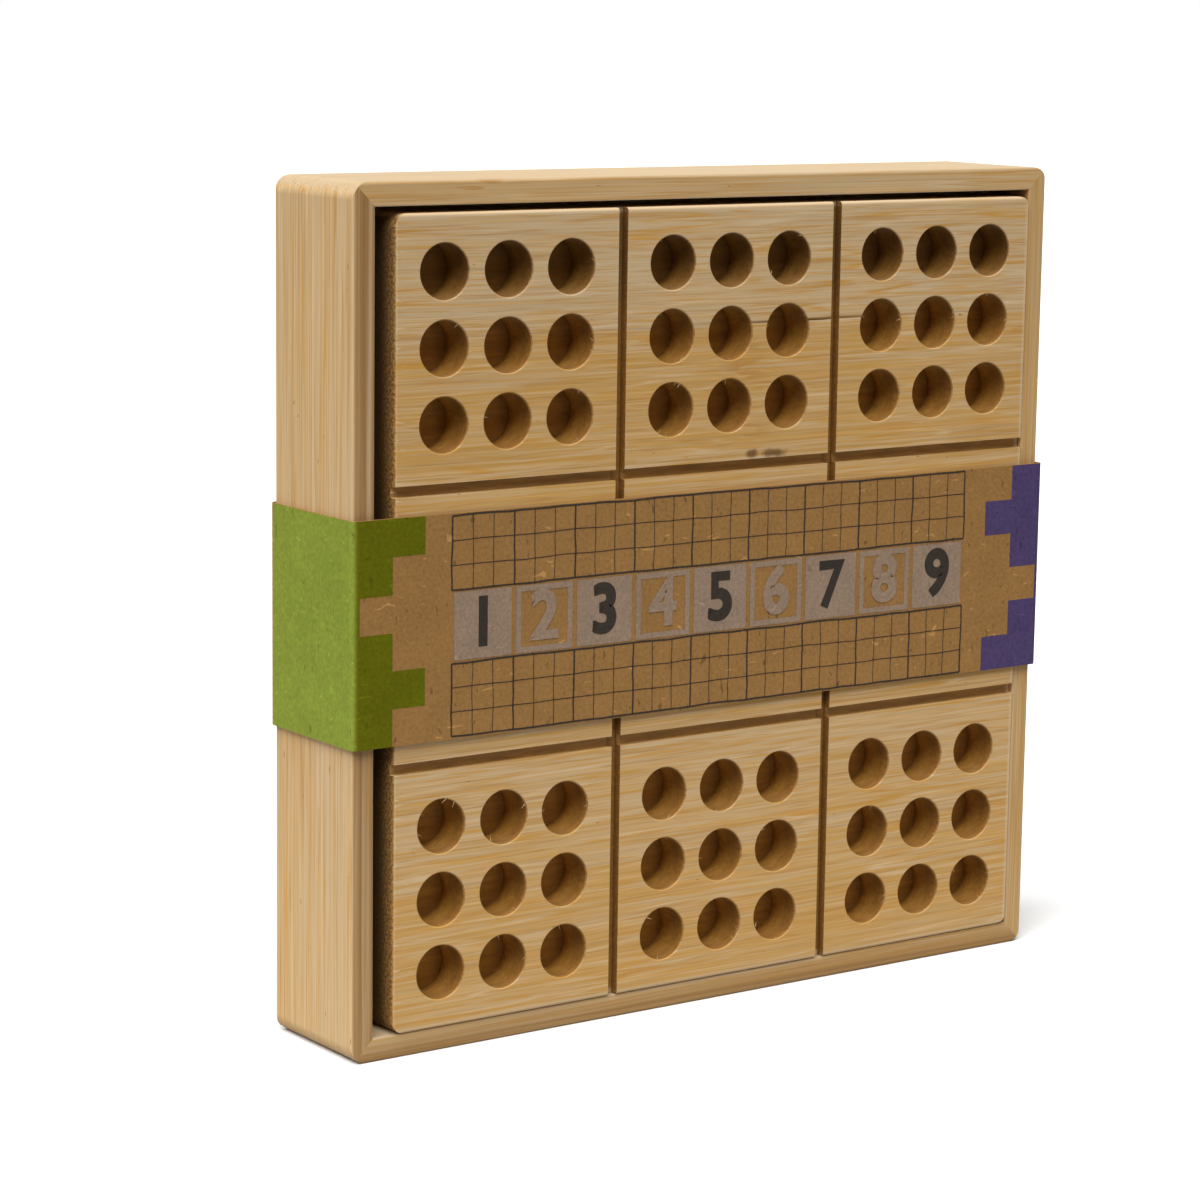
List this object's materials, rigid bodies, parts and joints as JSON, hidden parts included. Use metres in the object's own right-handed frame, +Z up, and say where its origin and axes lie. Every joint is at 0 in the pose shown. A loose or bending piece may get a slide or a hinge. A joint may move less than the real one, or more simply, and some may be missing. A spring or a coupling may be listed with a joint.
{
  "type": "sudoku board",
  "caption": "Shallow mitred bamboo tray with a lift-out sudoku peg board of round blind holes in blocks parted by grooves, number pegs stored behind it and a paper band around its middle.",
  "frame": {"origin": "middle of the bottom rail's underside, where the tray stands", "axes": "+X to the player's right, +Y from the playing face to the back, +Z up"},
  "size_m": [0.1624, 0.0293, 0.158],
  "materials": {
    "tray_bamboo": "sanded, clear matt oil",
    "panel_bamboo": "sanded",
    "ledge_bamboo": "sawn",
    "board_bamboo": "sanded, clear matt oil",
    "peg_wood": "sanded",
    "kraft_card": "uncoated printed kraft card"
  },
  "bodies": {
    "tray": {"left_rail": "tray_bamboo", "right_rail": "tray_bamboo", "top_rail": "tray_bamboo", "bottom_rail": "tray_bamboo", "base_panel": "panel_bamboo", "left_ledge": "ledge_bamboo", "right_ledge": "ledge_bamboo", "top_ledge": "ledge_bamboo", "bottom_ledge": "ledge_bamboo"},
    "board": {"peg_board": "board_bamboo", "board_back": "board_bamboo"},
    "band": {"paper_band": "kraft_card"},
    "peg_column_1": {"pegs_1": "peg_wood"},
    "peg_column_2": {"pegs_2": "peg_wood"},
    "peg_column_3": {"pegs_3": "peg_wood"},
    "peg_column_4": {"pegs_4": "peg_wood"},
    "peg_column_5": {"pegs_5": "peg_wood"},
    "peg_column_6": {"pegs_6": "peg_wood"},
    "peg_column_7": {"pegs_7": "peg_wood"},
    "peg_column_8": {"pegs_8": "peg_wood"},
    "peg_column_9": {"pegs_9": "peg_wood"}
  },
  "joints": [
    {"name": "band_slide", "type": "slide", "parent": "tray", "child": "band", "axis": [0, 0, 1], "range_m": [0, 0.105]},
    {"name": "board_lift", "type": "slide", "parent": "tray", "child": "board", "axis": [0, -1, 0], "range_m": [0, 0.06], "deforming": ["paper_band"]},
    {"name": "pegs_1_slide", "type": "slide", "parent": "tray", "child": "peg_column_1", "axis": [0, 0, 1], "range_m": [0, 0.0535]},
    {"name": "pegs_2_slide", "type": "slide", "parent": "tray", "child": "peg_column_2", "axis": [0, 0, 1], "range_m": [0, 0.0535]},
    {"name": "pegs_3_slide", "type": "slide", "parent": "tray", "child": "peg_column_3", "axis": [0, 0, 1], "range_m": [0, 0.0535]},
    {"name": "pegs_4_slide", "type": "slide", "parent": "tray", "child": "peg_column_4", "axis": [0, 0, 1], "range_m": [0, 0.0535]},
    {"name": "pegs_5_slide", "type": "slide", "parent": "tray", "child": "peg_column_5", "axis": [0, 0, 1], "range_m": [0, 0.0535]},
    {"name": "pegs_6_slide", "type": "slide", "parent": "tray", "child": "peg_column_6", "axis": [0, 0, 1], "range_m": [0, 0.0535]},
    {"name": "pegs_7_slide", "type": "slide", "parent": "tray", "child": "peg_column_7", "axis": [0, 0, 1], "range_m": [0, 0.0535]},
    {"name": "pegs_8_slide", "type": "slide", "parent": "tray", "child": "peg_column_8", "axis": [0, 0, 1], "range_m": [0, 0.0535]},
    {"name": "pegs_9_slide", "type": "slide", "parent": "tray", "child": "peg_column_9", "axis": [0, 0, 1], "range_m": [0, 0.0535]}
  ]
}
